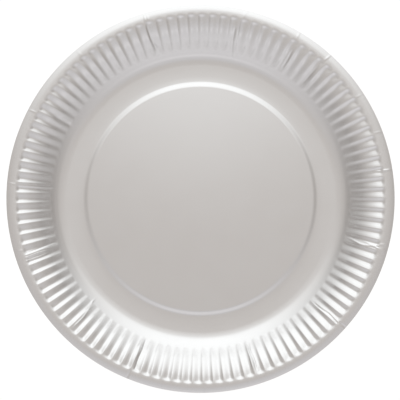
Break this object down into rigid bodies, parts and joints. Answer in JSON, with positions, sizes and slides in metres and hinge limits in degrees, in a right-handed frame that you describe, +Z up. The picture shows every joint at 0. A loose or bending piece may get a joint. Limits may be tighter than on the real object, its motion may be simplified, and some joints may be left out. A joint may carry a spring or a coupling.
{
  "type": "paper plate",
  "caption": "Round pressed paper plate with a silver face, a raised centre panel, a fluted wall and a turned-down lip.",
  "frame": {"origin": "centre of the foot ring's underside, on the surface that the plate stands on", "axes": "+Z up, out of the plate's well; +X and +Y across the rim, with a rib's middle 1 degree round from +X"},
  "size_m": [0.23, 0.23, 0.016],
  "materials": {
    "silver_board": "satin silver film on white board"
  },
  "bodies": {
    "root": {"plate": "silver_board"}
  },
  "joints": []
}
